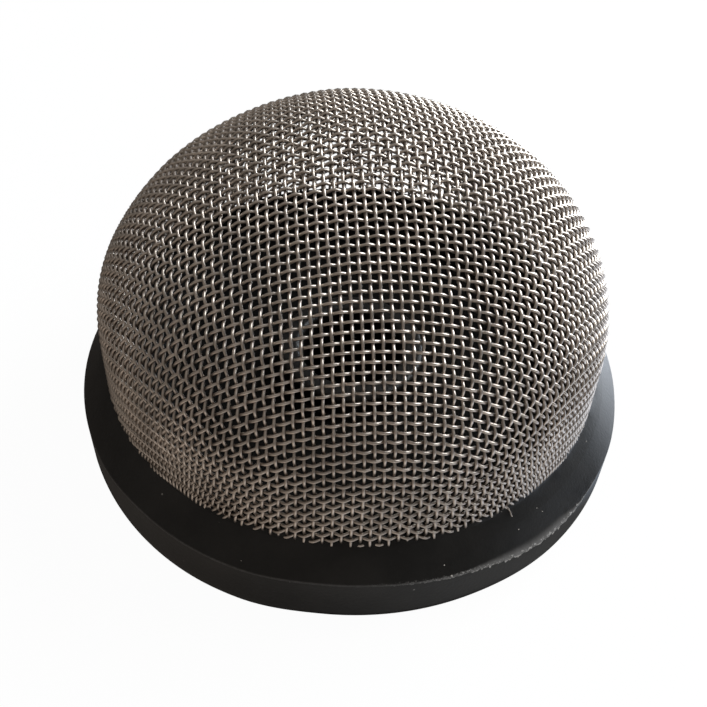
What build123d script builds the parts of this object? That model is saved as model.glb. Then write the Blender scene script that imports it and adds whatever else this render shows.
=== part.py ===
from build123d import *
import os
from math import cos, floor, hypot, pi, sin, sqrt

# Filter screen: a dome of plain-woven stainless wire cloth whose cut edge is moulded into a black
# rubber base. The base has a flat-bottomed rim with a sloping ledge outside, and a floor inside
# with a raised collar and the bore in the middle.
# Millimetres, +Z up, origin on the axis at the flat bottom of the base.

# Cloth dome, on the middle surface of the cloth
waist_radius = 24.2         # where the cloth leaves the rubber
dome_radius = 24.4          # widest place
waist_rise = 6.4            # from the rubber line up to the widest place
crown_rise = 17.8           # from the widest place up to the top

# Weave: each strand stands for a band of eight wires
strand_pitch = 6.8
strand_width = 2.0          # a little less of the pitch than a real wire takes
strand_thickness = 0.34
crimp = 0.15                # how far a strand rises and dips about the middle surface
weave_turn = 6.0            # degrees, about the axis
stations_per_pitch = 3      # sections along a strand from one crossing to the next
halvings = 40               # of the angle that is searched to place a node on the dome

# Skirt of the cloth that is buried in the rubber
skirt_margin = 0.06         # stands past the faces of the strands, on each side
skirt_depth = 3.2           # from the rubber line down to the cut edge
strand_root = 1.2           # how far the strands run down into the skirt

# Rubber base
rim_height = 4.3            # up to the outer edge of the ledge
rim_width = 2.6             # out from the cloth to the foot of the rim
rim_flare = 0.3             # the top of the rim stands out this much past its foot
ledge_rise = 3.3            # from the outer edge of the ledge up to the rubber line
ledge_sag = 0.17            # hollow of the ledge below a straight slope
lip_rise = 1.3              # the inner lip stands this much above the rubber line
lip_crest = 0.4             # flat top of the inner lip
cove_width = 5.2            # from the lip down its slope to the floor, measured level
floor_thickness = 5.4
collar_rise = 2.6           # from the floor up to the top of the collar
collar_wall = 2.3
bore_radius = 5.1
rim_bevel = 0.35            # outer edge of the ledge
collar_bevel = 0.7          # top edges of the collar
foot_bevel = 0.3            # bottom edges of the rim and the bore

# Levels and faces that both pieces share
rubber_line = rim_height + ledge_rise
shoulder = rubber_line + waist_rise
skirt_half = crimp + strand_thickness / 2 + skirt_margin
skirt_inner = waist_radius - skirt_half
skirt_outer = waist_radius + skirt_half
skirt_bottom = rubber_line - skirt_depth
strand_end = rubber_line - strand_root


def dome_level(point):
    """Above zero outside the middle surface of the cloth, below zero inside it."""
    reach = hypot(point.X, point.Y)
    if point.Z > shoulder:
        return hypot(reach / dome_radius, (point.Z - shoulder) / crown_rise) - 1
    drop = min(shoulder - point.Z, waist_rise) / waist_rise
    return reach / (dome_radius + (waist_radius - dome_radius) * drop) - 1


def dome_normal(point):
    """Outward direction of the middle surface."""
    reach = max(hypot(point.X, point.Y), 1e-9)
    if point.Z > shoulder:
        out = reach / dome_radius**2
        rise = (point.Z - shoulder) / crown_rise**2
    else:
        out = 1.0
        rise = -(dome_radius - waist_radius) / waist_rise
    return Vector(out * point.X / reach, out * point.Y / reach, rise).normalized()


def swing(start, outward, lift, reach):
    """Point of the dome at a distance from start, found by turning from outward towards lift."""
    low, high = -pi / 2, pi / 2
    for _ in range(halvings):
        middle = (low + high) / 2
        point = start + outward * (reach * cos(middle)) + lift * (reach * sin(middle))
        if dome_level(point) > 0:
            high = middle
        else:
            low = middle
    return point


def next_on_meridian(point, side, cell):
    """Next node of a strand that runs straight down the dome."""
    normal = dome_normal(point)
    return swing(point, side.cross(normal), normal, cell)


def fourth_corner(here, first, second, cell):
    """Last corner of a cell whose four sides are equally long, as drawn cloth keeps them."""
    middle = (first + second) / 2
    half = (second - first).length / 2
    outward = (middle - here).normalized()
    across = (second - first).normalized()
    lift = outward.cross(across)
    if lift.dot(dome_normal(middle)) < 0:
        lift = -lift
    return swing(middle, outward, lift, sqrt(cell**2 - half**2))


def drape_quarter(cell):
    """Nodes of a quarter of the draped cloth, by column and row, down to the end of the strands."""
    nodes = {(0, 0): Vector(0, 0, shoulder + crown_rise)}
    column = 0
    while nodes[column, 0].Z > strand_end:
        nodes[column + 1, 0] = next_on_meridian(nodes[column, 0], Vector(0, 1, 0), cell)
        column += 1
        nodes[0, column] = Vector(0, nodes[column, 0].X, nodes[column, 0].Z)
    for row in range(column):
        for step in range(column):
            corners = [(step, row), (step + 1, row), (step, row + 1)]
            if all(corner in nodes and nodes[corner].Z > strand_end for corner in corners):
                here, first, second = (nodes[corner] for corner in corners)
                nodes[step + 1, row + 1] = fourth_corner(here, first, second, cell)
    return nodes


def strand_line(nodes, row):
    """Nodes of one strand, from its middle down to its end."""
    line = [nodes[0, row]]
    while (len(line), row) in nodes and line[-1].Z > strand_end:
        line.append(nodes[len(line), row])
    return line


def cut_to_end(line):
    """The same line with its last stretch shortened to the level where strands end."""
    above, below = line[-2], line[-1]
    share = (above.Z - strand_end) / (above.Z - below.Z)
    return line[:-1] + [above + (below - above) * share]


def strand(points, first_station, parity):
    """One strand: a flat band that goes over and under the strands it crosses."""
    with BuildPart() as band:
        for index, point in enumerate(points):
            before = points[max(index - 1, 0)]
            after = points[min(index + 1, len(points) - 1)]
            normal = dome_normal(point)
            along = (after - before).normalized()
            across = normal.cross(along)
            wave = cos(pi * (first_station + index) / stations_per_pitch)
            origin = point + normal * (parity * crimp * wave)
            with BuildSketch(Plane(origin, x_dir=across, z_dir=along)):
                Rectangle(strand_width, strand_thickness)
        loft(ruled=True)
    return band.part


def weave():
    """All strands, both ways, where they stand on the dome."""
    nodes = drape_quarter(strand_pitch / stations_per_pitch)
    rows = floor(max(row for column, row in nodes if column == 0) / stations_per_pitch)
    strands = []
    for number in range(rows + 1):
        line = strand_line(nodes, number * stations_per_pitch)
        if len(line) < 3:
            continue
        half = cut_to_end(line)
        other_half = [Vector(-point.X, point.Y, point.Z) for point in half[:0:-1]]
        points = other_half + half
        parity = 1 if number % 2 == 0 else -1
        for side in (1, -1) if number > 0 else (1,):
            warp = [Vector(point.X, side * point.Y, point.Z) for point in points]
            weft = [Vector(side * point.Y, point.X, point.Z) for point in points]
            strands.append(strand(warp, 1 - len(half), parity))
            strands.append(strand(weft, 1 - len(half), -parity))
    return [Rot(0, 0, weave_turn) * band for band in strands]


strands = weave()

# Mesh dome: the buried skirt with the woven strands rising from it
with BuildPart() as mesh_dome:
    with BuildSketch(Plane.XZ):
        with Locations((waist_radius, skirt_bottom)):
            Rectangle(2 * skirt_half, skirt_depth, align=(Align.CENTER, Align.MIN))
    revolve(axis=Axis.Z)
    add(strands)
mesh_dome.part.label = "mesh_dome"

# Rubber base: half section turned about the axis
base_radius = waist_radius + rim_width
rim_radius = base_radius + rim_flare
lip_inner = skirt_inner - lip_crest
lip_top = rubber_line + lip_rise
floor_edge = lip_inner - cove_width
collar_radius = bore_radius + collar_wall
collar_top = floor_thickness + collar_rise
bevels = [
    ((rim_radius, rim_height), rim_bevel),
    ((collar_radius, collar_top), collar_bevel),
    ((bore_radius, collar_top), collar_bevel),
    ((base_radius, 0), foot_bevel),
    ((bore_radius, 0), foot_bevel),
]
with BuildPart() as rubber_base:
    with BuildSketch(Plane.XZ) as half_section:
        with BuildLine():
            Polyline(
                (skirt_outer, rubber_line),
                (skirt_outer, skirt_bottom),
                (skirt_inner, skirt_bottom),
                (skirt_inner, lip_top),
                (lip_inner, lip_top),
                (floor_edge, floor_thickness),
                (collar_radius, floor_thickness),
                (collar_radius, collar_top),
                (bore_radius, collar_top),
                (bore_radius, 0),
                (base_radius, 0),
                (rim_radius, rim_height),
            )
            SagittaArc((rim_radius, rim_height), (skirt_outer, rubber_line), ledge_sag)
        make_face()
        for corner, length in bevels:
            chamfer(half_section.vertices().sort_by_distance(corner)[0], length)
    revolve(axis=Axis.Z)
rubber_base.part.label = "rubber_base"

os.makedirs("parts", exist_ok=True)
export_step(mesh_dome.part, "parts/mesh_dome.step")
export_step(rubber_base.part, "parts/rubber_base.step")
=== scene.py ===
import math

import bmesh
import bpy
from mathutils import Matrix, Vector, noise


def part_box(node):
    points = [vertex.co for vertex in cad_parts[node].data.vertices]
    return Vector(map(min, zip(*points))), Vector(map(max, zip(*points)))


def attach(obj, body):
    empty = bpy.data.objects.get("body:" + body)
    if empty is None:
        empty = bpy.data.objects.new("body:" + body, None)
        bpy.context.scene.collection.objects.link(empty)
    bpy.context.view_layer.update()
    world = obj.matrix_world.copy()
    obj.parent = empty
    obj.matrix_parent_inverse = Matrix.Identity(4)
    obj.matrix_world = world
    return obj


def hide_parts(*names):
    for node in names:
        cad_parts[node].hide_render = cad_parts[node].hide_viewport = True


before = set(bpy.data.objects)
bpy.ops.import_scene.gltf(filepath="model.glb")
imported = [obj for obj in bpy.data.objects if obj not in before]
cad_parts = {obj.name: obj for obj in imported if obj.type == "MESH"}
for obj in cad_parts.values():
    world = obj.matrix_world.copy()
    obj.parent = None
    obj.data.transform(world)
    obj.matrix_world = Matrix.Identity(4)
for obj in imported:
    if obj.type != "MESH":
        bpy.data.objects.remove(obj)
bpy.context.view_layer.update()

# Filter screen: a dome of fine plain-woven wire cloth whose edge is moulded into a black rubber base.
# Metres, +Z up, origin on the axis at the flat bottom of the base.

bl_info = {
    "name": "Filter Screen",
    "version": (1, 0, 0),
    "blender": (4, 5, 0),
    "location": "View3D > Sidebar > Filter Screen",
    "description": "Woven wire dome moulded into a round rubber base",
    "category": "Object",
}

CLOTH_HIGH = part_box("mesh_dome")[1]
BASE_LOW, BASE_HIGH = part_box("rubber_base")

# Stretches round the axis, in degrees: where each begins, is full, fades and ends.
LEFT_BULGE = (205, 244, 250, 267)
RIGHT_BULGE = (296, 318, 338, 357)
HIGH_EDGE = (208, 228, 272, 306)
LOW_EDGE = (297, 312, 316, 336)
TORN_EDGE = (272, 308, 318, 334)
PRESSED_SIDE = (95, 140, 158, 190)

# Levels between which the press comes in and fades out.
PRESS_BEGINS = (0.014, 0.020)
PRESS_ENDS = (0.0265, 0.0310)


# Sizes and colours that a user would change

class ClothSizes(bpy.types.PropertyGroup):
    """Sizes of the woven wire cloth, on its middle surface where nothing else is said."""

    pitch: bpy.props.FloatProperty(
        name="Wire pitch",
        description="Distance from one wire to the next, thirty wires to 25.4 mm",
        default=0.0254 / 30,
        min=0.0004,
        unit="LENGTH",
    )
    wire: bpy.props.FloatProperty(
        name="Wire diameter",
        description="Diameter of the drawn steel wire",
        default=0.00031,
        min=0.00005,
        unit="LENGTH",
    )
    crimp: bpy.props.FloatProperty(
        name="Crimp",
        description="How far a wire rises and dips as it goes over and under the others",
        default=0.000155,
        unit="LENGTH",
    )
    wander: bpy.props.FloatProperty(
        name="Wander",
        description="How far the wires stray from an even weave",
        default=0.00009,
        unit="LENGTH",
    )
    stray_wire: bpy.props.FloatProperty(
        name="Stray wire",
        description="Diameter of the stray wire end at the front right",
        default=0.00014,
        unit="LENGTH",
    )
    turn: bpy.props.FloatProperty(
        name="Turn of the weave",
        description="Angle of the wires about the axis of the dome",
        default=math.radians(5.7),
        subtype="ANGLE",
    )
    waist_radius: bpy.props.FloatProperty(
        name="Waist radius",
        description="Radius where the cloth leaves the rubber",
        default=0.0242,
        unit="LENGTH",
    )
    dome_radius: bpy.props.FloatProperty(
        name="Dome radius",
        description="Radius at the widest place",
        default=0.0244,
        unit="LENGTH",
    )
    shoulder: bpy.props.FloatProperty(
        name="Shoulder height",
        description="Level of the widest place",
        default=0.014,
        unit="LENGTH",
    )
    apex_drop: bpy.props.FloatProperty(
        name="Apex drop",
        description="From the top of the solid dome down to the middle of the cloth",
        default=0.00032,
        unit="LENGTH",
    )
    press: bpy.props.FloatProperty(
        name="Press",
        description="How far the dome is pressed in at the back left",
        default=0.00038,
        unit="LENGTH",
    )
    cut_level: bpy.props.FloatProperty(
        name="Cut edge",
        description="Level of the cut ends of the wires, inside the rubber",
        default=0.0064,
        unit="LENGTH",
    )
    steel: bpy.props.FloatVectorProperty(
        name="Steel colour",
        description="Colour of the clean wire",
        default=(0.57, 0.50, 0.44),
        subtype="COLOR",
    )


class RubberSizes(bpy.types.PropertyGroup):
    """Sizes of the rubber base."""

    rim_radius: bpy.props.FloatProperty(
        name="Rim radius",
        description="Radius at the outer edge of the ledge",
        default=0.02705,
        unit="LENGTH",
    )
    foot_radius: bpy.props.FloatProperty(
        name="Foot radius",
        description="Radius of the rim at its foot",
        default=0.0268,
        unit="LENGTH",
    )
    rim_height: bpy.props.FloatProperty(
        name="Rim height",
        description="Level of the outer edge of the ledge",
        default=0.0043,
        unit="LENGTH",
    )
    rubber_line: bpy.props.FloatProperty(
        name="Rubber line",
        description="Level where the cloth leaves the rubber",
        default=0.0076,
        unit="LENGTH",
    )
    lip_radius: bpy.props.FloatProperty(
        name="Lip radius",
        description="Inner radius of the lip behind the cloth",
        default=0.02342,
        unit="LENGTH",
    )
    floor_radius: bpy.props.FloatProperty(
        name="Floor radius",
        description="Radius where the slope inside meets the floor",
        default=0.01822,
        unit="LENGTH",
    )
    floor_level: bpy.props.FloatProperty(
        name="Floor level",
        description="Level of the floor inside",
        default=0.0054,
        unit="LENGTH",
    )
    collar_radius: bpy.props.FloatProperty(
        name="Collar radius",
        description="Outer radius of the collar round the bore",
        default=0.0074,
        unit="LENGTH",
    )
    collar_level: bpy.props.FloatProperty(
        name="Collar level",
        description="Level of the top of the collar",
        default=0.008,
        unit="LENGTH",
    )
    bore_radius: bpy.props.FloatProperty(
        name="Bore radius",
        description="Radius of the bore",
        default=0.0051,
        unit="LENGTH",
    )
    bulge: bpy.props.FloatProperty(
        name="Bulge",
        description="How far the rim bulges out of round at the front, on the left and the right",
        default=0.00032,
        unit="LENGTH",
    )
    edge_rise: bpy.props.FloatProperty(
        name="Edge rise",
        description="How far the edge of the ledge stands higher at the front left",
        default=0.00095,
        unit="LENGTH",
    )
    edge_drop: bpy.props.FloatProperty(
        name="Edge drop",
        description="How far the edge of the ledge hangs lower at the front right",
        default=0.0008,
        unit="LENGTH",
    )
    flash: bpy.props.FloatProperty(
        name="Moulding flash",
        description="Height of the torn flash along the edge of the rim",
        default=0.00014,
        unit="LENGTH",
    )
    rubber: bpy.props.FloatVectorProperty(
        name="Rubber colour",
        description="Colour of the clean rubber",
        default=(0.0065, 0.0058, 0.0052),
        subtype="COLOR",
    )


# Node helpers

def add_node(tree, kind, inputs=None, **settings):
    """One node with its settings, its plain input values and its links."""
    made = tree.nodes.new(kind)
    for name, value in settings.items():
        setattr(made, name, value)
    for name, value in (inputs or {}).items():
        if isinstance(value, bpy.types.NodeSocket):
            tree.links.new(value, made.inputs[name])
        else:
            made.inputs[name].default_value = value
    return made


def new_group(name, kind, inputs, outputs):
    """An empty node group with its sockets, as (tree, input node, output node)."""
    tree = bpy.data.node_groups.new(name, kind)
    for socket, (socket_kind, value) in inputs.items():
        made = tree.interface.new_socket(socket, in_out="INPUT", socket_type=socket_kind)
        if value is not None:
            made.default_value = value
    for socket, socket_kind in outputs.items():
        tree.interface.new_socket(socket, in_out="OUTPUT", socket_type=socket_kind)
    return tree, tree.nodes.new("NodeGroupInput"), tree.nodes.new("NodeGroupOutput")


def ramp(tree, value, span, results, soft=False):
    """Output socket that goes from the first result to the second over a span of values."""
    made = add_node(
        tree,
        "ShaderNodeMapRange",
        {
            "Value": value,
            "From Min": span[0],
            "From Max": span[1],
            "To Min": results[0],
            "To Max": results[1],
        },
        interpolation_type="SMOOTHSTEP" if soft else "LINEAR",
    )
    return made.outputs["Result"]


def calculate(tree, operation, first, second):
    """Output socket of a sum, product or comparison of two values."""
    return add_node(tree, "ShaderNodeMath", {0: first, 1: second}, operation=operation).outputs[0]


def product(tree, *values):
    """Output socket of several values multiplied together."""
    total = values[0]
    for value in values[1:]:
        total = calculate(tree, "MULTIPLY", total, value)
    return total


def along(tree, place, direction):
    """Output socket of how far a place lies in a direction."""
    made = add_node(tree, "ShaderNodeVectorMath", {0: place, 1: direction}, operation="DOT_PRODUCT")
    return made.outputs["Value"]


def scaled(tree, vector, amount):
    """Output socket of a vector or colour times an amount."""
    made = add_node(tree, "ShaderNodeVectorMath", {0: vector, "Scale": amount}, operation="SCALE")
    return made.outputs["Vector"]


def added(tree, first, second):
    """Output socket of the sum of two vectors or colours."""
    made = add_node(tree, "ShaderNodeVectorMath", {0: first, 1: second}, operation="ADD")
    return made.outputs["Vector"]


def color_mix(tree, factor, first, second):
    """Output socket of a mix of two colours."""
    mix = tree.nodes.new("ShaderNodeMix")
    mix.data_type = "RGBA"
    sockets = (mix.inputs[0], mix.inputs[6], mix.inputs[7])
    for socket, value in zip(sockets, (factor, first, second)):
        if isinstance(value, bpy.types.NodeSocket):
            tree.links.new(value, socket)
        else:
            socket.default_value = value
    return mix.outputs[2]


def noise_value(tree, place, scale, detail):
    """Output socket of a soft noise from 0 to 1."""
    made = add_node(
        tree, "ShaderNodeTexNoise", {"Vector": place, "Scale": scale, "Detail": detail}
    )
    return made.outputs["Fac"]


# Effects that more than one finish uses

def mottle_group():
    """A colour that drifts between two tones in soft patches."""
    tree, source, result = new_group(
        "Mottled Tone",
        "ShaderNodeTree",
        {
            "Vector": ("NodeSocketVector", None),
            "Patch Scale": ("NodeSocketFloat", 400.0),
            "Clean": ("NodeSocketColor", (0.4, 0.4, 0.4, 1)),
            "Dull": ("NodeSocketColor", (0.2, 0.2, 0.2, 1)),
        },
        {"Color": "NodeSocketColor"},
    )
    patches = add_node(
        tree,
        "ShaderNodeTexNoise",
        {
            "Vector": source.outputs["Vector"],
            "Scale": source.outputs["Patch Scale"],
            "Detail": 4.0,
            "Roughness": 0.6,
        },
    )
    spread = ramp(tree, patches.outputs["Fac"], (0.35, 0.65), (0.0, 1.0))
    tone = color_mix(tree, spread, source.outputs["Clean"], source.outputs["Dull"])
    tree.links.new(tone, result.inputs["Color"])
    return tree


def speck_group():
    """Sparse small specks of dust, as a mask."""
    tree, source, result = new_group(
        "Dust Specks",
        "ShaderNodeTree",
        {
            "Vector": ("NodeSocketVector", None),
            "Speck Scale": ("NodeSocketFloat", 1200.0),
            "Speck Size": ("NodeSocketFloat", 0.12),
            "Rarity": ("NodeSocketFloat", 0.9),
        },
        {"Mask": "NodeSocketFloat"},
    )
    cells = add_node(
        tree,
        "ShaderNodeTexVoronoi",
        {"Vector": source.outputs["Vector"], "Scale": source.outputs["Speck Scale"]},
    )
    inside = calculate(
        tree, "LESS_THAN", cells.outputs["Distance"], source.outputs["Speck Size"]
    )
    chance = add_node(tree, "ShaderNodeSeparateColor", {"Color": cells.outputs["Color"]})
    chosen = calculate(tree, "GREATER_THAN", chance.outputs["Red"], source.outputs["Rarity"])
    tree.links.new(calculate(tree, "MULTIPLY", inside, chosen), result.inputs["Mask"])
    return tree


def shared_effect(tree, name, make, inputs):
    """A node of the effect of that name, whose group is made on its first use."""
    group = bpy.data.node_groups.get(name) or make()
    return add_node(tree, "ShaderNodeGroup", inputs, node_tree=group)


# Finishes

def new_material(name):
    """An empty node material with its shader and Object coordinates."""
    material = bpy.data.materials.new(name)
    material.use_nodes = True
    tree = material.node_tree
    shader = tree.nodes["Principled BSDF"]
    place = add_node(tree, "ShaderNodeTexCoord").outputs["Object"]
    return material, tree, shader, place


def mottled(tree, place, scale, clean, dull):
    """Output socket of a colour in soft patches."""
    inputs = {"Vector": place, "Patch Scale": scale, "Clean": (*clean, 1), "Dull": (*dull, 1)}
    return shared_effect(tree, "Mottled Tone", mottle_group, inputs).outputs["Color"]


def relief(tree, height, strength, depth):
    """Output socket of a normal tilted by fine relief."""
    made = add_node(
        tree, "ShaderNodeBump", {"Strength": strength, "Distance": depth, "Height": height}
    )
    return made.outputs["Normal"]


def steel_material(colour):
    """Drawn stainless wire, satin, with a thin brownish film in patches."""
    material, tree, shader, place = new_material("wire_steel")
    tone = mottled(tree, place, 260.0, colour, [0.72 * channel for channel in colour])
    grain = noise_value(tree, place, 9000.0, 3.0)
    tree.links.new(tone, shader.inputs["Base Color"])
    tree.links.new(ramp(tree, grain, (0.0, 1.0), (0.28, 0.41)), shader.inputs["Roughness"])
    tree.links.new(relief(tree, grain, 0.08, 0.00001), shader.inputs["Normal"])
    shader.inputs["Metallic"].default_value = 1.0
    return material


def flash_and_sheen_masks(tree, place):
    """Masks of the torn flash and of a painted highlight: a pale band that fades up the ledge, partly
    scuffing of the torn flash and partly a painted highlight along the edge of the rim, and the bright
    torn teeth of the flash.
    """
    above = add_node(tree, "ShaderNodeAttribute", attribute_name="above_edge").outputs["Fac"]
    torn = add_node(tree, "ShaderNodeAttribute", attribute_name="torn").outputs["Fac"]
    upright = add_node(
        tree, "ShaderNodeVectorMath", {0: place, 1: (1.0, 1.0, 0.2)}, operation="MULTIPLY"
    )
    ragged = noise_value(tree, upright.outputs["Vector"], 2300.0, 4.0)
    longest = ramp(tree, torn, (0.0, 1.0), (0.00006, 0.00055))
    hanging = product(tree, ramp(tree, ragged, (0.46, 0.68), (0.0, 1.0)), longest)
    over = calculate(tree, "ADD", above, hanging)
    sharp = ramp(tree, over, (0.0, 0.00005), (0.0, 1.0))
    reach = ramp(tree, calculate(tree, "POWER", torn, 4.0), (0.0, 1.0), (0.00014, 0.00090))
    fade = ramp(tree, calculate(tree, "DIVIDE", above, reach), (0.0, 1.0), (1.0, 0.0), soft=True)
    # All round the rim the pale band keeps about a third of its strength, a thin painted highlight along
    # the edge.
    band = product(tree, sharp, fade, ramp(tree, torn, (0.0, 1.0), (0.35, 1.0)))
    bits = noise_value(tree, place, 6500.0, 2.0)
    grit = product(
        tree, ramp(tree, over, (0.00012, 0.00030), (1.0, 0.0)), ramp(tree, bits, (0.50, 0.60), (0.0, 1.0))
    )
    below = ramp(tree, above, (-0.00004, 0.00004), (1.0, 0.0))
    teeth = product(tree, sharp, torn, calculate(tree, "MAXIMUM", grit, below))
    return band, teeth


def rubber_material(name, colour, shine, roughness):
    """Black moulded rubber with a faint bloom, dust specks, and a pale edge that is partly scuffing and
    partly a painted highlight.
    """
    material, tree, shader, place = new_material(name)
    tone = mottled(tree, place, 180.0, colour, [2.0 * channel for channel in colour])
    specks = shared_effect(
        tree,
        "Dust Specks",
        speck_group,
        {"Vector": place, "Speck Scale": 900.0, "Speck Size": 0.09, "Rarity": 0.93},
    )
    dusty = color_mix(tree, specks.outputs["Mask"], tone, (0.16, 0.15, 0.14, 1))
    band, teeth = flash_and_sheen_masks(tree, place)
    # The pale band is partly scuffing of the flash and partly a painted highlight along the edge.
    scuffed_with_sheen = color_mix(tree, band, dusty, (0.115, 0.108, 0.103, 1))
    worn = color_mix(tree, teeth, scuffed_with_sheen, (0.40, 0.38, 0.36, 1))
    grain = noise_value(tree, place, 3300.0, 4.0)
    height = calculate(tree, "ADD", calculate(tree, "MULTIPLY", band, 2.0), grain)
    tree.links.new(worn, shader.inputs["Base Color"])
    tree.links.new(ramp(tree, grain, (0.0, 1.0), roughness), shader.inputs["Roughness"])
    tree.links.new(relief(tree, height, 0.5, 0.00003), shader.inputs["Normal"])
    shader.inputs["Specular IOR Level"].default_value = shine
    return material


def dust_material():
    """Pale grit, uneven in tone from crumb to crumb."""
    material, tree, shader, place = new_material("pale_dust")
    tone = noise_value(tree, place, 2500.0, 2.0)
    pale = color_mix(tree, tone, (0.50, 0.46, 0.41, 1), (0.34, 0.31, 0.28, 1))
    tree.links.new(pale, shader.inputs["Base Color"])
    shader.inputs["Roughness"].default_value = 0.7
    return material


# Soft steps and stretches, for the uneven places of the real object

def smooth_step(low, high, value):
    """0 below low, 1 above high, and a soft rise between them."""
    share = min(max((value - low) / (high - low), 0), 1)
    return share * share * (3 - 2 * share)


def around(angle, start, full, fading, finish):
    """0 outside start to finish, 1 from full to fading, all in degrees round the base."""
    turn = math.degrees(angle) % 360
    if turn < start - 100:
        turn += 360
    return smooth_step(start, full, turn) * (1 - smooth_step(fading, finish, turn))


# Cloth: the middle surface and the net of crossings drawn over it

class DomeSurface:
    """The middle surface of the cloth: an elliptic crown over a wall that narrows to the waist."""

    def __init__(self, sizes, rubber_line):
        self.radius = sizes.dome_radius
        self.waist = sizes.waist_radius
        self.shoulder = sizes.shoulder
        self.apex = CLOTH_HIGH.z - sizes.apex_drop
        self.crown = self.apex - self.shoulder
        self.waist_rise = self.shoulder - rubber_line

    def level(self, point):
        """Above zero outside the surface, below zero inside it."""
        reach = math.hypot(point.x, point.y)
        if point.z > self.shoulder:
            return math.hypot(reach / self.radius, (point.z - self.shoulder) / self.crown) - 1
        drop = min(self.shoulder - point.z, self.waist_rise) / self.waist_rise
        return reach / (self.radius + (self.waist - self.radius) * drop) - 1

    def normal(self, point):
        """Outward direction."""
        reach = max(math.hypot(point.x, point.y), 1e-9)
        if point.z > self.shoulder:
            out = reach / self.radius**2
            rise = (point.z - self.shoulder) / self.crown**2
        else:
            out = 1.0
            rise = -(self.radius - self.waist) / self.waist_rise
        return Vector((out * point.x / reach, out * point.y / reach, rise)).normalized()

    def swing(self, start, outward, lift, reach):
        """Point of the surface at a distance from start, between outward and lift."""
        low, high = -math.pi / 2, math.pi / 2
        for _ in range(30):
            middle = (low + high) / 2
            turn = outward * math.cos(middle) + lift * math.sin(middle)
            point = start + turn * reach
            if self.level(point) > 0:
                high = middle
            else:
                low = middle
        return point


def fourth_crossing(surface, here, first, second, pitch):
    """Last corner of a mesh of the cloth, whose four sides stay one pitch long."""
    middle = (first + second) / 2
    half = (second - first).length / 2
    outward = (middle - here).normalized()
    lift = outward.cross((second - first).normalized())
    if lift.dot(surface.normal(middle)) < 0:
        lift = -lift
    return surface.swing(middle, outward, lift, math.sqrt(pitch**2 - half**2))


def drape_quarter(surface, pitch, low):
    """Crossings of a quarter of the cloth, by column and row."""
    nodes = {(0, 0): Vector((0, 0, surface.apex))}
    side = Vector((0, 1, 0))
    column = 0
    while nodes[column, 0].z > low:
        point = nodes[column, 0]
        normal = surface.normal(point)
        following = surface.swing(point, side.cross(normal), normal, pitch)
        column += 1
        nodes[column, 0] = following
        nodes[0, column] = Vector((0, following.x, following.z))
    for row in range(column):
        for step in range(column):
            corners = [nodes.get(key) for key in ((step, row), (step + 1, row), (step, row + 1))]
            if all(corner is not None and corner.z > low for corner in corners):
                nodes[step + 1, row + 1] = fourth_crossing(surface, *corners, pitch)
    return nodes


def wire_lines(nodes, low):
    """Lines of (column, row, point) along the wires of one direction, row by row."""
    rows = max(row for column, row in nodes if column == 0)
    for row in range(rows):
        half = [(0, row, nodes[0, row])]
        while half[-1][2].z > low and (len(half), row) in nodes:
            half.append((len(half), row, nodes[len(half), row]))
        if len(half) < 2:
            continue
        above, below = half[-2][2], half[-1][2]
        if below.z < low:
            share = (above.z - low) / (above.z - below.z)
            half[-1] = (len(half) - 2 + share, row, above.lerp(below, share))
        mirrored = []
        for step, _, point in half[:0:-1]:
            mirrored.append((-step, row, Vector((-point.x, point.y, point.z))))
        yield mirrored + half


def pressed_share(point):
    """How much of the press a point of the dome takes, from 0 to 1."""
    begins = smooth_step(*PRESS_BEGINS, point.z)
    ends = 1 - smooth_step(*PRESS_ENDS, point.z)
    return around(math.atan2(point.y, point.x), *PRESSED_SIDE) * begins * ends


def cloth_half(sizes, surface, nodes, across, side):
    """Mesh of the middle lines of the wires of one direction on one side of the dome."""
    turn = Matrix.Rotation(sizes.turn, 3, "Z")
    points, edges, waves, normals = [], [], [], []
    for line in wire_lines(nodes, sizes.cut_level):
        if line[0][1] == 0 and side < 0:
            continue
        first = len(points)
        edges.extend((first + index, first + index + 1) for index in range(len(line) - 1))
        for step, row, point in line:
            place = Vector((point.x, side * point.y, point.z))
            if across:
                place = Vector((place.y, place.x, place.z))
            normal = turn @ surface.normal(place)
            place = turn @ place
            points.append(place - normal * (sizes.press * pressed_share(place)))
            normals.append(normal)
            wave = math.cos(math.pi * (step + row))
            waves.append(-wave if across else wave)
    mesh = bpy.data.meshes.new("wire_lines")
    mesh.from_pydata(points, edges, [])
    wave_layer = mesh.attributes.new("wave", "FLOAT", "POINT")
    wave_layer.data.foreach_set("value", waves)
    normal_layer = mesh.attributes.new("outward", "FLOAT_VECTOR", "POINT")
    normal_layer.data.foreach_set("vector", [value for normal in normals for value in normal])
    return mesh


STRAY_PLACES = (
    (0.01485, -0.01935, 0.00765),
    (0.01508, -0.01960, 0.00740),
    (0.01530, -0.01986, 0.00695),
)


def stray_line():
    """Middle line of the thin wire end that sticks out of the rubber at the front right."""
    mesh = bpy.data.meshes.new("wire_lines")
    mesh.from_pydata(STRAY_PLACES, [(0, 1), (1, 2)], [])
    mesh.attributes.new("wave", "FLOAT", "POINT")
    mesh.attributes.new("outward", "FLOAT_VECTOR", "POINT")
    return mesh


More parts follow.
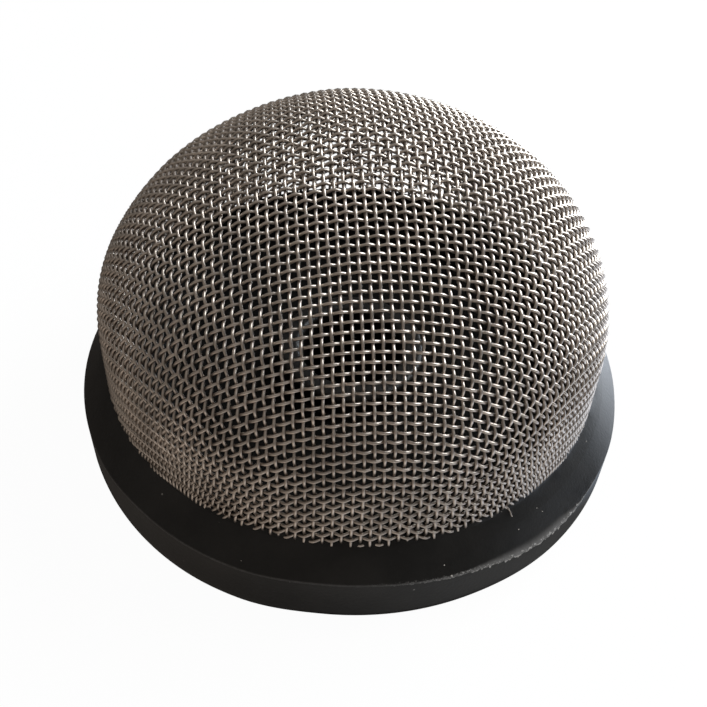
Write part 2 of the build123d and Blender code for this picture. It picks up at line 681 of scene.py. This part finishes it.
def weaving_tree():
    """Geometry nodes that turn middle lines into crimped round wires."""
    tree, source, result = new_group(
        "Woven Wires",
        "GeometryNodeTree",
        {
            "Lines": ("NodeSocketGeometry", None),
            "Wire Radius": ("NodeSocketFloat", None),
            "Crimp": ("NodeSocketFloat", None),
            "Wander": ("NodeSocketFloat", None),
            "Wander Scale": ("NodeSocketFloat", 160.0),
            "Wander Seed": ("NodeSocketFloat", 3.0),
            "Cuts": ("NodeSocketInt", 3),
            "Sides": ("NodeSocketInt", 6),
            "Steel": ("NodeSocketMaterial", None),
        },
        {"Wires": "NodeSocketGeometry"},
    )
    curves = add_node(tree, "GeometryNodeMeshToCurve", {"Mesh": source.outputs["Lines"]})
    fine = add_node(
        tree,
        "GeometryNodeSubdivideCurve",
        {"Curve": curves.outputs["Curve"], "Cuts": source.outputs["Cuts"]},
    )
    wave = add_node(tree, "GeometryNodeInputNamedAttribute", {"Name": "wave"}, data_type="FLOAT")
    outward = add_node(
        tree,
        "GeometryNodeInputNamedAttribute",
        {"Name": "outward"},
        data_type="FLOAT_VECTOR",
    )
    quarter = calculate(tree, "MULTIPLY", wave.outputs["Attribute"], math.pi / 2)
    rounded = add_node(tree, "ShaderNodeMath", {0: quarter}, operation="SINE").outputs[0]
    height = calculate(tree, "MULTIPLY", rounded, source.outputs["Crimp"])
    lift = scaled(tree, outward.outputs["Attribute"], height)
    drift = add_node(
        tree,
        "ShaderNodeTexNoise",
        {
            "Vector": add_node(tree, "GeometryNodeInputPosition").outputs["Position"],
            "Scale": source.outputs["Wander Scale"],
            "W": source.outputs["Wander Seed"],
            "Detail": 1.0,
        },
        noise_dimensions="4D",
    )
    centred = added(tree, drift.outputs["Color"], (-0.5, -0.5, -0.5))
    offset = added(tree, lift, scaled(tree, centred, source.outputs["Wander"]))
    crimped = add_node(
        tree,
        "GeometryNodeSetPosition",
        {"Geometry": fine.outputs["Curve"], "Offset": offset},
    )
    section = add_node(
        tree,
        "GeometryNodeCurvePrimitiveCircle",
        {"Resolution": source.outputs["Sides"], "Radius": source.outputs["Wire Radius"]},
    )
    round_wire = add_node(
        tree,
        "GeometryNodeCurveToMesh",
        {
            "Curve": crimped.outputs["Geometry"],
            "Profile Curve": section.outputs["Curve"],
            "Fill Caps": True,
        },
    )
    smooth = add_node(tree, "GeometryNodeSetShadeSmooth", {"Geometry": round_wire.outputs["Mesh"]})
    real = add_node(
        tree, "GeometryNodeRealizeInstances", {"Geometry": smooth.outputs["Geometry"]}
    )
    finish = add_node(
        tree,
        "GeometryNodeSetMaterial",
        {"Geometry": real.outputs["Geometry"], "Material": source.outputs["Steel"]},
    )
    tree.links.new(finish.outputs["Geometry"], result.inputs["Wires"])
    return tree


def set_input(modifier, name, value):
    """Sets a geometry nodes input by its socket's identifier."""
    items = modifier.node_group.interface.items_tree
    socket = next(item for item in items if item.name == name and item.in_out == "INPUT")
    modifier[socket.identifier] = value


def settle(piece):
    """Replaces a piece's modifiers with the plain mesh that they make."""
    depsgraph = bpy.context.evaluated_depsgraph_get()
    mesh = bpy.data.meshes.new_from_object(piece.evaluated_get(depsgraph))
    piece.modifiers.clear()
    piece.data = mesh
    mesh.name = piece.name


def place_piece(name, mesh, context):
    """A new object at the origin, linked to the scene."""
    piece = bpy.data.objects.new(name, mesh)
    context.collection.objects.link(piece)
    return piece


# Rubber base

SEGMENTS = 640
LONGEST_RUN = 0.0007
CORNER_STEPS = 5

# Radii of the section, and how far its points lie below or above the rubber line.
KNEE_RADIUS, KNEE_DROP = 0.02545, 0.0013
TOP_RADIUS, TOP_DROP = 0.0245, 0.0002
SEAM_RADIUS, SEAM_RISE = 0.02431, 0.0001
COVE_RADIUS, COVE_RISE = 0.0240, 0.00042
LIP_OUTSIDE = 0.02386
WELL_RADIUS = 0.0239
WELL_BOTTOM = 0.001
COLLAR_ROUNDING = 0.0002


def arc_corner(before, corner, after, radius, steps):
    """Points of a round corner of a section."""
    to_before = (before - corner).normalized()
    to_after = (after - corner).normalized()
    half = to_before.angle(to_after) / 2
    reach = radius / math.tan(half)
    centre = corner + (to_before + to_after).normalized() * (radius / math.sin(half))
    start = corner + to_before * reach - centre
    finish = corner + to_after * reach - centre
    points = []
    for step in range(steps + 1):
        share = step / steps
        direction = start.lerp(finish, share)
        points.append(centre + direction.normalized() * radius)
    return points


def ledge_corners(sizes):
    """Section of the ledge: its edge, its knee and its top."""
    return (
        Vector((sizes.rim_radius, sizes.rim_height)),
        Vector((KNEE_RADIUS, sizes.rubber_line - KNEE_DROP)),
        Vector((TOP_RADIUS, sizes.rubber_line - TOP_DROP)),
    )


def base_section(sizes):
    """Closed half section of the base, as (radius, level) points, counter-clockwise."""
    line = sizes.rubber_line
    edge, knee, top = ledge_corners(sizes)
    # Radius, level and rounding of each corner.
    corners = [
        (sizes.bore_radius, BASE_LOW.z, 0.0002),
        (sizes.foot_radius, BASE_LOW.z, 0.00025),
        (*edge, 0.0002),
        (*knee, 0.0010),
        (*top, 0.0002),
        (SEAM_RADIUS, line + SEAM_RISE, 0.0001),
        (COVE_RADIUS, line + COVE_RISE, 0.0001),
        (LIP_OUTSIDE, BASE_HIGH.z, 0.00025),
        (sizes.lip_radius, BASE_HIGH.z, 0.0002),
        (sizes.floor_radius, sizes.floor_level, 0.0012),
        (sizes.collar_radius, sizes.floor_level, 0.0003),
        (sizes.collar_radius, sizes.collar_level, 0.0006),
        (sizes.bore_radius, sizes.collar_level, 0.0006),
    ]
    places = [Vector(corner[:2]) for corner in corners]
    outline = []
    for index, (_, _, radius) in enumerate(corners):
        before = places[index - 1]
        after = places[(index + 1) % len(places)]
        outline += arc_corner(before, places[index], after, radius, CORNER_STEPS)
    return divide_runs(outline, LONGEST_RUN)


def divide_runs(outline, longest):
    """The same closed outline with no run longer than a given length."""
    points = []
    for index, point in enumerate(outline):
        following = outline[(index + 1) % len(outline)]
        count = max(1, math.ceil((following - point).length / longest))
        points += [point.lerp(following, step / count) for step in range(count)]
    return points


def in_well(sizes, radius, level):
    """True on the faces inside, which take a duller and darker rubber as painted shade: the slope and the
    floor, but not the collar.
    """
    return sizes.collar_radius + COLLAR_ROUNDING < radius < WELL_RADIUS and level > WELL_BOTTOM


def turned_mesh(name, section, segments, shape):
    """Closed mesh of a section turned about the axis; shape(radius, level, angle) moves each point."""
    points, faces = [], []
    count = len(section)
    for turn in range(segments):
        angle = 2 * math.pi * turn / segments
        for radius, level in section:
            moved_radius, moved_level = shape(radius, level, angle)
            across = (moved_radius * math.cos(angle), moved_radius * math.sin(angle))
            points.append((*across, moved_level))
        here = turn * count
        ahead = (turn + 1) % segments * count
        for index in range(count):
            following = (index + 1) % count
            faces.append((here + index, ahead + index, ahead + following, here + following))
    mesh = bpy.data.meshes.new(name)
    mesh.from_pydata(points, [], faces)
    mesh.shade_smooth()
    return mesh


def uneven(angle, waves, seed):
    """Smooth value from -1 to 1 with about so many waves round the base."""
    return noise.noise(Vector((waves * math.cos(angle), waves * math.sin(angle), seed)))


class BaseForm:
    """Moves the turned section out of round and out of level, as on the real base."""

    MOVING_FROM = (0.0238, 0.0246)
    RIPPLING_FROM = (0.0239, 0.0242)
    RIPPLE_WIDTH = 0.0006
    TEAR_WIDTH = 0.00035
    EDGE_ROUNDING = 0.00012
    RIGHT_SHARE = 0.55
    KNEE_SHARE = 0.64

    # Waves of the rubber line: height, number round the base and seed.
    RIPPLES = ((0.00020, 9, 2.0), (0.00010, 30, 8.0))

    def __init__(self, sizes):
        self.sizes = sizes
        self.edge, self.knee, self.top = ledge_corners(sizes)

    def torn(self, angle):
        """How torn the edge of the rim is, from 0 to 1."""
        return around(angle, *TORN_EDGE)

    def tear(self, angle):
        """How high the flash stands at an angle, as a share of its height."""
        return max(0, 0.3 + uneven(angle, 70, 5.0)) * (0.3 + 0.7 * self.torn(angle))

    def moved(self, radius, level, angle):
        """Radius and level of a point of the section once it is moved."""
        sizes = self.sizes
        outside = smooth_step(*self.MOVING_FROM, radius)
        if level > sizes.rim_height:
            share = (sizes.rubber_line - level) / (sizes.rubber_line - sizes.rim_height)
        else:
            share = level / sizes.rim_height
        share = min(max(share, 0), 1) * outside
        bulge_share = outside if level < sizes.rim_height else share
        bulge = around(angle, *LEFT_BULGE) + self.RIGHT_SHARE * around(angle, *RIGHT_BULGE)
        rise = sizes.edge_rise * around(angle, *HIGH_EDGE)
        rise -= sizes.edge_drop * around(angle, *LOW_EDGE)
        off_line = abs(level - sizes.rubber_line - SEAM_RISE)
        near_line = 1 - smooth_step(0.0, self.RIPPLE_WIDTH, off_line)
        near_line *= smooth_step(*self.RIPPLING_FROM, radius)
        ripple = sum(height * uneven(angle, *waves) for height, *waves in self.RIPPLES)
        off_edge = (Vector((radius, level)) - self.edge).length
        near_edge = 1 - smooth_step(0.0, self.TEAR_WIDTH, off_edge)
        level += near_line * ripple + near_edge * self.tear(angle) * sizes.flash + share * rise
        return radius + bulge_share * bulge * sizes.bulge, level

    def above_edge(self, radius, level):
        """Distance from the edge of the rim, up the ledge, or below zero down the side."""
        distance = (Vector((radius, level)) - self.edge).length
        return distance if level > self.edge.y - self.EDGE_ROUNDING else -distance

    def on_ledge(self, share, angle):
        """Point of the ledge at a share of the way up from its edge."""
        if share < self.KNEE_SHARE:
            place = self.edge.lerp(self.knee, share / self.KNEE_SHARE)
        else:
            place = self.knee.lerp(self.top, (share - self.KNEE_SHARE) / (1 - self.KNEE_SHARE))
        radius, level = self.moved(*place, angle)
        return Vector((radius * math.cos(angle), radius * math.sin(angle), level))


# Crumbs of dust on the ledge: degrees round the base, share of the way up the ledge, radius.
CRUMBS = (
    (290.5, 0.32, 0.00008),
    (291.5, 0.02, 0.00012),
    (308.5, 0.51, 0.00007),
    (315.5, 0.54, 0.00005),
    (314.5, 0.68, 0.00005),
    (336.0, 0.77, 0.00006),
    (250.5, 0.22, 0.00005),
)


def add_crumbs(context, form):
    """Pale crumbs of dust on the ledge, where the photograph shows them."""
    made = bmesh.new()
    for degrees, share, radius in CRUMBS:
        centre = form.on_ledge(share, math.radians(degrees))
        flattened = Matrix.Translation(centre) @ Matrix.Diagonal((1.0, 1.0, 0.6, 1.0))
        bmesh.ops.create_icosphere(made, subdivisions=1, radius=radius, matrix=flattened)
    mesh = bpy.data.meshes.new("crumbs")
    made.to_mesh(mesh)
    made.free()
    mesh.materials.append(dust_material())
    piece = place_piece("crumbs", mesh, context)
    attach(piece, "root")
    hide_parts("rubber_base")


# Operators

class SCREEN_OT_wire_cloth(bpy.types.Operator):
    """Weave the wire cloth over the dome, both ways"""

    bl_idname = "filter_screen.wire_cloth"
    bl_label = "Wire Cloth"

    def execute(self, context):
        sizes = context.scene.cloth_sizes
        surface = DomeSurface(sizes, context.scene.rubber_sizes.rubber_line)
        nodes = drape_quarter(surface, sizes.pitch, sizes.cut_level)
        steel = steel_material(sizes.steel)
        tree = weaving_tree()
        halves = (
            ("warp_back", False, 1),
            ("warp_front", False, -1),
            ("weft_right", True, 1),
            ("weft_left", True, -1),
        )
        lines = [(name, cloth_half(sizes, surface, nodes, *way)) for name, *way in halves]
        lines.append(("stray_end", stray_line()))
        for name, mesh in lines:
            piece = place_piece(name, mesh, context)
            weaving = piece.modifiers.new("Weave", "NODES")
            weaving.node_group = tree
            thick = sizes.stray_wire if name == "stray_end" else sizes.wire
            set_input(weaving, "Wire Radius", thick / 2)
            set_input(weaving, "Crimp", sizes.crimp)
            set_input(weaving, "Wander", sizes.wander)
            set_input(weaving, "Steel", steel)
            settle(piece)
            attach(piece, "root")
            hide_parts("mesh_dome")
        return {"FINISHED"}


class SCREEN_OT_rubber_base(bpy.types.Operator):
    """Turn the rubber base, with its uneven rubber line and torn flash"""

    bl_idname = "filter_screen.rubber_base"
    bl_label = "Rubber Base"

    def execute(self, context):
        sizes = context.scene.rubber_sizes
        form = BaseForm(sizes)
        section = base_section(sizes)
        mesh = turned_mesh("moulded_base", section, SEGMENTS, form.moved)
        distances = [form.above_edge(*point) for point in section]
        above_layer = mesh.attributes.new("above_edge", "FLOAT", "POINT")
        above_layer.data.foreach_set("value", distances * SEGMENTS)
        torn = [form.torn(2 * math.pi * turn / SEGMENTS) for turn in range(SEGMENTS)]
        torn_layer = mesh.attributes.new("torn", "FLOAT", "POINT")
        torn_layer.data.foreach_set("value", [value for value in torn for _ in section])
        outer = rubber_material("moulded_rubber", sizes.rubber, 0.3, (0.28, 0.40))
        # Painted shade: the slope and the floor inside get a darker, less shiny copy of the rubber.
        dull = [0.6 * channel for channel in sizes.rubber]
        inner = rubber_material("inner_rubber_painted_shade", dull, 0.06, (0.55, 0.75))
        mesh.materials.append(outer)
        mesh.materials.append(inner)
        inside = [int(in_well(sizes, *point)) for point in section]
        mesh.polygons.foreach_set("material_index", inside * SEGMENTS)
        piece = place_piece("moulded_base", mesh, context)
        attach(piece, "root")
        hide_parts("rubber_base")
        add_crumbs(context, form)
        return {"FINISHED"}


class SCREEN_OT_stage(bpy.types.Operator):
    """Set up the pale floor, the soft lights and the camera"""

    bl_idname = "filter_screen.stage"
    bl_label = "Stage"

    def execute(self, context):
        make_floor(context)
        make_lights(context)
        make_sky(context)
        make_camera(context)
        context.scene.view_settings.view_transform = "Standard"
        return {"FINISHED"}


# Stage

FLOOR_SIZE = 4.0
FLOOR_COLOUR = (0.86, 0.86, 0.86, 1)
WHITE_SHARE = 0.97
PAINTED_SHADE_RADIUS = 0.0255
CAMERA_DISTANCE = 0.1362
CAMERA_ELEVATION = math.radians(46.3)
CAMERA_TARGET = 0.00611
CAMERA_ROLL = 0.0458
CAMERA_LENS = 68.08
CAMERA_SHIFT = (0.00355, 0.00621)

# Name, place, size, strength and colour of each lamp.
LAMPS = (
    ("key", (0.29, 0.185, 0.305), 0.33, 3.15, (0.90, 0.96, 1.0)),
    ("window", (0.31, 0.36, 0.09), 0.16, 1.3, (0.84, 0.92, 1.0)),
)


def floor_painted_reflections(tree, place, reach):
    """The floor as shiny surfaces see it, painted with reflections: dim and warm on the left, a bluish
    glowing window on the right, a brighter patch by the foot at the front right, and painted shade near
    the rim.
    """
    to_right = along(tree, place, (1.0, 0.0, 0.0))
    to_front = along(tree, place, (0.0, -1.0, 0.0))
    to_back = along(tree, place, (-0.5, 0.87, 0.0))
    # Painted shade in reflections: the floor seen in shiny surfaces is dimmer behind, on the left, far to
    # the right and near the rim.
    plain = product(
        tree, ramp(tree, to_front, (0.0, 0.06), (0.15, 1.0)),
        ramp(tree, reach, (0.0285, 0.036), (0.36, 1.0)),
        ramp(tree, to_right, (-0.05, 0.0), (0.55, 1.0)),
        ramp(tree, to_right, (0.05, 0.11), (1.0, 0.35)),
    )
    # Painted reflection: a brighter patch by the foot at the front right, seen in the side of the rim.
    foot = product(
        tree, ramp(tree, to_right, (-0.005, 0.012), (0.0, 0.17)),
        ramp(tree, to_front, (0.017, 0.025), (0.3, 1.0)),
        ramp(tree, reach, (0.030, 0.034), (1.0, 0.0)),
    )
    # Painted reflection: a bright bluish glow on the floor behind on the right, which the right ledge
    # shows as its highlight.
    window = product(
        tree, ramp(tree, to_right, (0.0275, 0.030), (0.0, 1.0), soft=True),
        ramp(tree, to_back, (-0.038, -0.010), (0.0, 2.1)),
        ramp(tree, reach, (0.030, 0.036), (0.0, 1.0)),
    )
    # Painted reflection: a fainter blue glow further back on the right.
    painted_glow = product(
        tree, ramp(tree, to_right, (0.024, 0.030), (0.0, 1.0)),
        ramp(tree, to_back, (-0.075, -0.045), (0.0, 1.0)),
    )
    warm = color_mix(
        tree, ramp(tree, to_right, (-0.015, 0.010), (0.0, 1.0)), (1.0, 0.89, 0.79, 1), (1, 1, 1, 1)
    )
    # Painted shade: right at the foot of the rim the floor is black to shiny surfaces, a dark line along
    # the bottom of the side.
    painted_contact_shade = ramp(tree, reach, (0.0268, 0.0271), (0.0, 1.0))
    total = scaled(tree, warm, product(tree, calculate(tree, "ADD", plain, foot), painted_contact_shade))
    for colour, amount in (((0.94, 0.97, 1.0), window), ((0.64, 0.78, 1.0), painted_glow)):
        total = added(tree, total, scaled(tree, colour, amount))
    return total


def make_floor(context):
    """A wide pale floor that shows as white and keeps the object's shadow; under the base it is painted
    near black, as painted shade seen through the bore.
    """
    half = FLOOR_SIZE / 2
    mesh = bpy.data.meshes.new("floor")
    corners = [(-half, -half, 0), (half, -half, 0), (half, half, 0), (-half, half, 0)]
    mesh.from_pydata(corners, [], [(0, 1, 2, 3)])
    piece = place_piece("floor", mesh, context)
    material, tree, shader, place = new_material("pale_floor")
    shader.inputs["Roughness"].default_value = 0.9
    shader.inputs["Specular IOR Level"].default_value = 0.0
    rays = add_node(tree, "ShaderNodeLightPath")
    glossy = rays.outputs["Is Glossy Ray"]
    seen = calculate(
        tree, "MAXIMUM", rays.outputs["Is Camera Ray"], rays.outputs["Is Transmission Ray"]
    )
    reach = add_node(tree, "ShaderNodeVectorMath", {0: place}, operation="LENGTH").outputs["Value"]
    open_floor = calculate(tree, "GREATER_THAN", reach, PAINTED_SHADE_RADIUS)
    # Painted shade: inside the base's footprint the floor is near black and gives no white.
    pale = color_mix(tree, open_floor, (0.004, 0.004, 0.004, 1), FLOOR_COLOUR)
    tree.links.new(pale, shader.inputs["Base Color"])
    # Shiny surfaces see the painted reflections where the camera sees white.
    shown = color_mix(tree, glossy, (1, 1, 1, 1), floor_painted_reflections(tree, place, reach))
    white = add_node(tree, "ShaderNodeEmission", {"Color": shown})
    share = calculate(
        tree, "MAXIMUM", product(tree, seen, open_floor, WHITE_SHARE),
        product(tree, glossy, open_floor),
    )
    mix = add_node(
        tree, "ShaderNodeMixShader", {0: share, 1: shader.outputs[0], 2: white.outputs[0]}
    )
    tree.links.new(mix.outputs[0], tree.nodes["Material Output"].inputs["Surface"])
    mesh.materials.append(material)


def make_lamp(context, name, place, size, strength, colour):
    """A square soft lamp that faces the object."""
    data = bpy.data.lights.new(name, "AREA")
    data.shape = "SQUARE"
    data.size = size
    data.energy = strength
    data.color = colour
    lamp = bpy.data.objects.new(name, data)
    lamp.location = place
    lamp.rotation_euler = Vector(place).to_track_quat("Z", "Y").to_euler()
    context.collection.objects.link(lamp)


def make_sky(context):
    """A sky dark at the front, warm on the left and cool on the right, that shows as white."""
    world = bpy.data.worlds.new("sky")
    world.use_nodes = True
    tree = world.node_tree
    place = add_node(tree, "ShaderNodeTexCoord").outputs["Generated"]
    seen = add_node(tree, "ShaderNodeLightPath").outputs["Is Camera Ray"]
    upwards = along(tree, place, (0.20, 0.15, 0.97))
    sideways = along(tree, place, (0.80, 0.60, 0.0))
    across = along(tree, place, (1.0, 0.0, 0.0))
    brightness = product(
        tree, ramp(tree, upwards, (-0.3, 1.0), (0.07, 0.36)), ramp(tree, across, (-0.9, 0.1), (1.45, 1.0))
    )
    tint = color_mix(
        tree, ramp(tree, sideways, (-0.5, 0.7), (0.0, 1.0)), (1.0, 0.915, 0.83, 1), (0.95, 0.98, 1.0, 1)
    )
    background = tree.nodes["Background"]
    tree.links.new(color_mix(tree, seen, tint, (1, 1, 1, 1)), background.inputs["Color"])
    tree.links.new(calculate(tree, "MAXIMUM", brightness, seen), background.inputs["Strength"])
    context.scene.world = world


def make_lights(context):
    """A tall window behind on the right, seen as two lamps."""
    for lamp in LAMPS:
        make_lamp(context, *lamp)


def make_camera(context):
    """The photograph's camera: in front, looking down at the dome, slightly rolled."""
    data = bpy.data.cameras.new("camera")
    data.lens = CAMERA_LENS
    data.sensor_width = 36
    data.shift_x, data.shift_y = CAMERA_SHIFT
    data.clip_start = 0.001
    camera = bpy.data.objects.new("camera", data)
    reach = CAMERA_DISTANCE * math.cos(CAMERA_ELEVATION)
    rise = CAMERA_TARGET + CAMERA_DISTANCE * math.sin(CAMERA_ELEVATION)
    tilt = Matrix.Rotation(math.pi / 2 - CAMERA_ELEVATION, 4, "X")
    roll = Matrix.Rotation(CAMERA_ROLL, 4, "Z")
    camera.matrix_world = Matrix.Translation((0, -reach, rise)) @ tilt @ roll
    context.collection.objects.link(camera)
    context.scene.camera = camera


class SCREEN_PT_panel(bpy.types.Panel):
    """Steps of the filter screen, in order"""

    bl_idname = "SCREEN_PT_panel"
    bl_label = "Filter Screen"
    bl_space_type = "VIEW_3D"
    bl_region_type = "UI"
    bl_category = "Filter Screen"

    def draw(self, context):
        column = self.layout.column()
        for operator in OPERATORS:
            column.operator(operator.bl_idname)
        for sizes in (context.scene.cloth_sizes, context.scene.rubber_sizes):
            for name in sizes.__annotations__:
                column.prop(sizes, name)


OPERATORS = (SCREEN_OT_wire_cloth, SCREEN_OT_rubber_base, SCREEN_OT_stage)
CLASSES = (ClothSizes, RubberSizes) + OPERATORS + (SCREEN_PT_panel,)


def register():
    for item in CLASSES:
        bpy.utils.register_class(item)
    bpy.types.Scene.cloth_sizes = bpy.props.PointerProperty(type=ClothSizes)
    bpy.types.Scene.rubber_sizes = bpy.props.PointerProperty(type=RubberSizes)


def unregister():
    del bpy.types.Scene.rubber_sizes
    del bpy.types.Scene.cloth_sizes
    for item in reversed(CLASSES):
        bpy.utils.unregister_class(item)


def main():
    register()
    bpy.ops.filter_screen.wire_cloth()
    bpy.ops.filter_screen.rubber_base()
    bpy.ops.filter_screen.stage()


if __name__ == "__main__":
    main()
